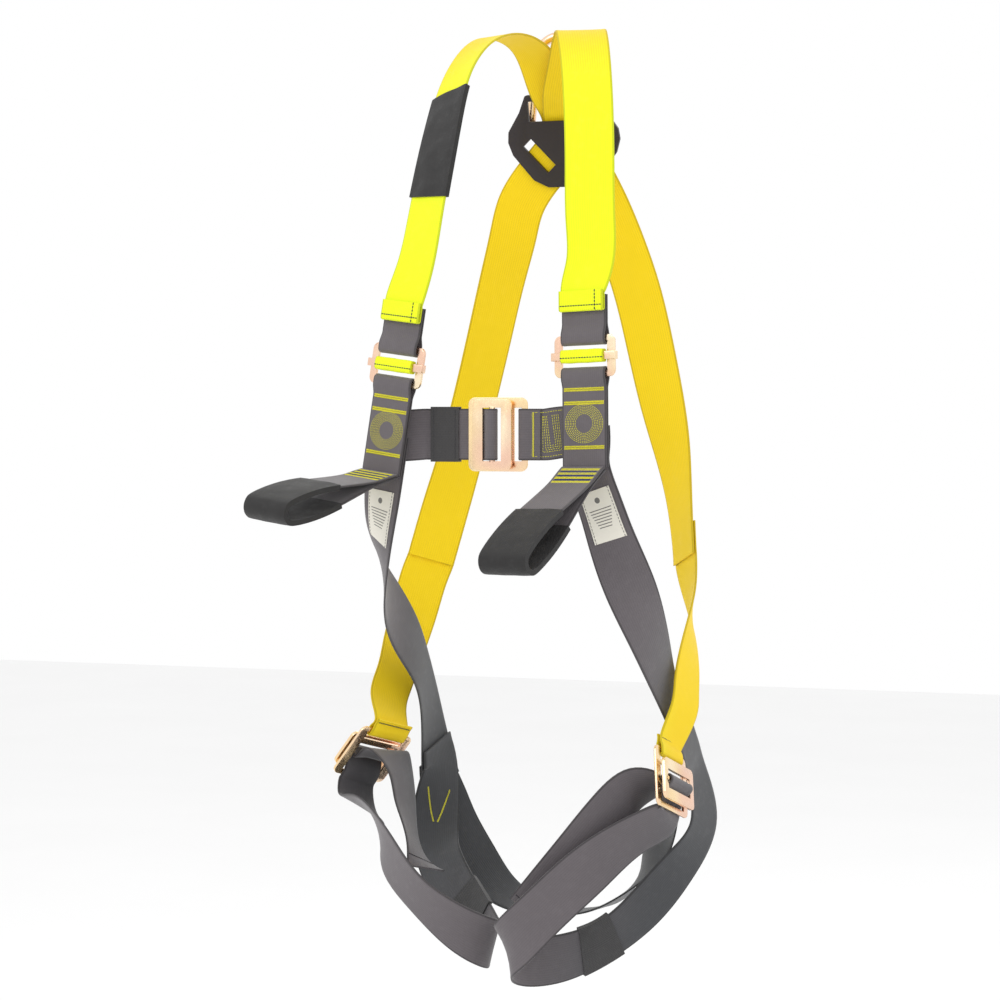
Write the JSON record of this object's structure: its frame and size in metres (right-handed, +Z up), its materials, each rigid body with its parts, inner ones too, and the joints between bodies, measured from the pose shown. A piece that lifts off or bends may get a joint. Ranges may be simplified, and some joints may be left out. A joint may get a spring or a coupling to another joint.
{
  "type": "safety harness",
  "caption": "Full-body fall-arrest harness: webbing straps crossed behind a dorsal plate with a D-ring, front attachment loops, chest strap and leg loops with pass-through buckles.",
  "frame": {"origin": "shoulder height, midway between the two shoulder straps and on the wearer's mid-plane", "axes": "+Z up along the wearer, the wearer faces -Y, the wearer's left is +X"},
  "size_m": [0.3363, 0.3804, 0.8625],
  "materials": {
    "yellow_webbing": "woven polyester webbing",
    "grey_webbing": "woven polyester webbing",
    "black_textile": "woven protective sleeve",
    "black_elastic": "ribbed elastic",
    "label_cloth": "printed textile",
    "gold_steel": "yellow-passivated zinc plating",
    "dark_plastic": "moulded, lightly textured"
  },
  "bodies": {
    "webbing": {"shoulder_strap_right": "yellow_webbing", "shoulder_tab_right": "grey_webbing", "adjuster_frame_right": "gold_steel", "chest_webbing_right": "grey_webbing", "side_strap_right": "grey_webbing", "hip_strap_right": "yellow_webbing", "leg_strap_right": "grey_webbing", "hip_buckle_plate_right": "gold_steel", "leg_keeper_right": "black_elastic", "label_right": "label_cloth", "shoulder_strap_left": "yellow_webbing", "shoulder_tab_left": "grey_webbing", "adjuster_frame_left": "gold_steel", "chest_webbing_left": "grey_webbing", "side_strap_left": "grey_webbing", "hip_strap_left": "yellow_webbing", "leg_strap_left": "grey_webbing", "hip_buckle_plate_left": "gold_steel", "leg_keeper_left": "black_elastic", "label_left": "label_cloth", "chest_strap_right": "grey_webbing", "chest_strap_left": "grey_webbing", "chest_buckle_plate": "gold_steel", "dorsal_plate": "dark_plastic", "shoulder_sleeve": "black_textile", "seat_strap": "grey_webbing"},
    "dorsal_ring": {"d_ring": "gold_steel"},
    "chest_frame": {"chest_buckle_frame": "gold_steel"},
    "tail_keeper": {"chest_keeper": "black_elastic"},
    "front_loop_right": {"front_loop_right": "grey_webbing", "loop_sleeve_right": "black_textile"},
    "hip_frame_right": {"hip_buckle_frame_right": "gold_steel"},
    "slider_right": {"adjuster_bar_right": "gold_steel", "adjuster_roll_right": "yellow_webbing"},
    "front_loop_left": {"front_loop_left": "grey_webbing", "loop_sleeve_left": "black_textile"},
    "hip_frame_left": {"hip_buckle_frame_left": "gold_steel"},
    "slider_left": {"adjuster_bar_left": "gold_steel", "adjuster_roll_left": "yellow_webbing"}
  },
  "joints": [
    {"name": "dorsal_ring_hinge", "type": "hinge", "parent": "webbing", "child": "dorsal_ring", "pos_m": [0, 0.11057, -0.07676], "axis": [-1, 0, 0], "range_deg": [0, 150]},
    {"name": "chest_frame_tilt", "type": "hinge", "parent": "webbing", "child": "chest_frame", "pos_m": [0.006, -0.107, -0.362], "axis": [0, 0, 1], "range_deg": [0, 10]},
    {"name": "tail_keeper_slide", "type": "slide", "parent": "webbing", "child": "tail_keeper", "axis": [1, 0, 0], "range_m": [-0.005, 0.005]},
    {"name": "front_loop_swing_right", "type": "hinge", "parent": "webbing", "child": "front_loop_right", "pos_m": [-0.09636, -0.11454, -0.39633], "axis": [0.9364, -0.332, -0.114], "range_deg": [-15, 25]},
    {"name": "hip_frame_tilt_right", "type": "hinge", "parent": "webbing", "child": "hip_frame_right", "pos_m": [-0.159, 0.004, -0.656], "axis": [0.3817, 0.8881, -0.2562], "range_deg": [0, 10]},
    {"name": "slider_travel_right", "type": "slide", "parent": "webbing", "child": "slider_right", "axis": [0.1399, 0.04, 0.9894], "range_m": [-0.0025, 0.0025]},
    {"name": "front_loop_swing_left", "type": "hinge", "parent": "webbing", "child": "front_loop_left", "pos_m": [0.09219, -0.11463, -0.39041], "axis": [0.9619, -0.273, 0.0119], "range_deg": [-15, 25]},
    {"name": "hip_frame_tilt_left", "type": "hinge", "parent": "webbing", "child": "hip_frame_left", "pos_m": [0.147, -0.02, -0.668], "axis": [-0.1414, -0.9327, 0.3318], "range_deg": [0, 10]},
    {"name": "slider_travel_left", "type": "slide", "parent": "webbing", "child": "slider_left", "axis": [-0.02, 0.04, 0.999], "range_m": [-0.0025, 0.0025]}
  ]
}
